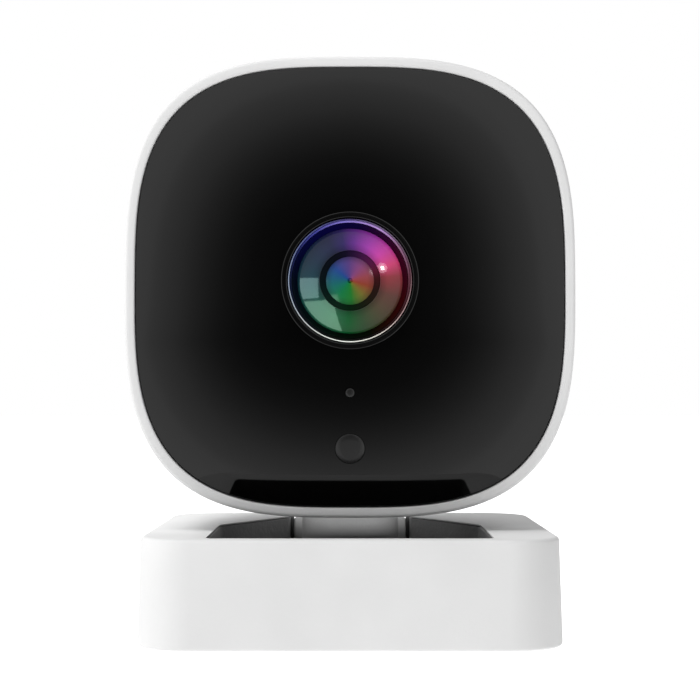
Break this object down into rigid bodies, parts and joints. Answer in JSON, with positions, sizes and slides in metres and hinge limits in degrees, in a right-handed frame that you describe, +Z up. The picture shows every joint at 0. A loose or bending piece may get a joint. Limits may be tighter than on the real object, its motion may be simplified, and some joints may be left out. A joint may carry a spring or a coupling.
{
  "type": "indoor security camera",
  "caption": "Compact home security camera: a rounded-square head with a black panel and central lens, on a swivel neck that folds out of a recess in a square weighted base.",
  "frame": {"origin": "middle of the underside of the foot pad, on the surface the camera stands on", "axes": "+Z up, -Y out of the lens, +X to the right of someone facing the lens"},
  "size_m": [0.0574, 0.048, 0.0743],
  "materials": {
    "white_plastic": "fine satin moulding",
    "recess_grey": "matt",
    "cover_grey": "matt",
    "neck_grey": "satin",
    "black_panel": "polished",
    "lens_black": "semi-gloss",
    "lens_glass": "multi-coated",
    "smoked_window": "polished",
    "rubber_grey": "matt",
    "rubber_black": "matt",
    "steel": "satin",
    "nickel": "plated",
    "brass": "turned",
    "nylon": "natural",
    "black_plastic": "matt",
    "circuit_board": "solder mask",
    "aluminium": "extruded",
    "filter_glass": "coated",
    "flex_film": "polyimide film"
  },
  "bodies": {
    "base": {"base_housing": "white_plastic", "recess_liner": "recess_grey", "bottom_cover": "cover_grey", "foot_pad": "rubber_grey", "base_magnet": "nickel", "ballast_bars": "steel", "tripod_bush": "brass", "base_screws": "steel", "hinge_pin": "steel", "hinge_washers": "nylon"},
    "neck": {"neck_arm": "neck_grey", "swivel_post": "neck_grey", "post_screw": "steel", "post_friction_washer": "nylon", "spring_washer": "steel", "retaining_cap": "black_plastic"},
    "head": {"head_shell": "white_plastic", "rear_cover": "white_plastic", "front_panel": "black_panel", "lens_trim_ring": "lens_black", "lens_barrel": "lens_black", "front_lens": "lens_glass", "iris_ring": "lens_black", "middle_lens": "lens_glass", "rear_lens": "lens_glass", "lens_holder": "black_plastic", "ir_cut_filter": "filter_glass", "image_sensor": "black_plastic", "sensor_board": "circuit_board", "inner_frame": "black_plastic", "swivel_bracket": "steel", "bracket_screws": "steel", "led_board": "circuit_board", "infrared_leds": "black_plastic", "status_light_pipe": "smoked_window", "light_sensor_window": "smoked_window", "light_sensor": "nylon", "ribbon_sockets": "nylon", "sensor_ribbon": "flex_film", "heat_sink": "aluminium", "main_board": "circuit_board", "main_chips": "black_plastic", "shield_can": "steel", "board_screws": "steel", "usb_socket": "steel", "card_socket": "steel", "speaker": "black_plastic", "speaker_gasket": "rubber_black", "microphone": "steel", "microphone_boot": "rubber_black", "antenna": "flex_film", "button_switch": "black_plastic"},
    "button": {"setup_button": "white_plastic"}
  },
  "joints": [
    {"name": "neck_fold", "type": "hinge", "parent": "base", "child": "neck", "pos_m": [0, 0.0205, 0.0108], "axis": [-1, 0, 0], "range_deg": [0, 90]},
    {"name": "head_pan", "type": "hinge", "parent": "neck", "child": "head", "pos_m": [0, 0.003, 0.016], "axis": [0, 0, 1], "range_deg": [-70, 70]},
    {"name": "button_press", "type": "slide", "parent": "head", "child": "button", "axis": [0, -1, 0], "range_m": [0, 0.0008], "stiffness_N_per_m": 400, "springref_m": -0.002}
  ]
}
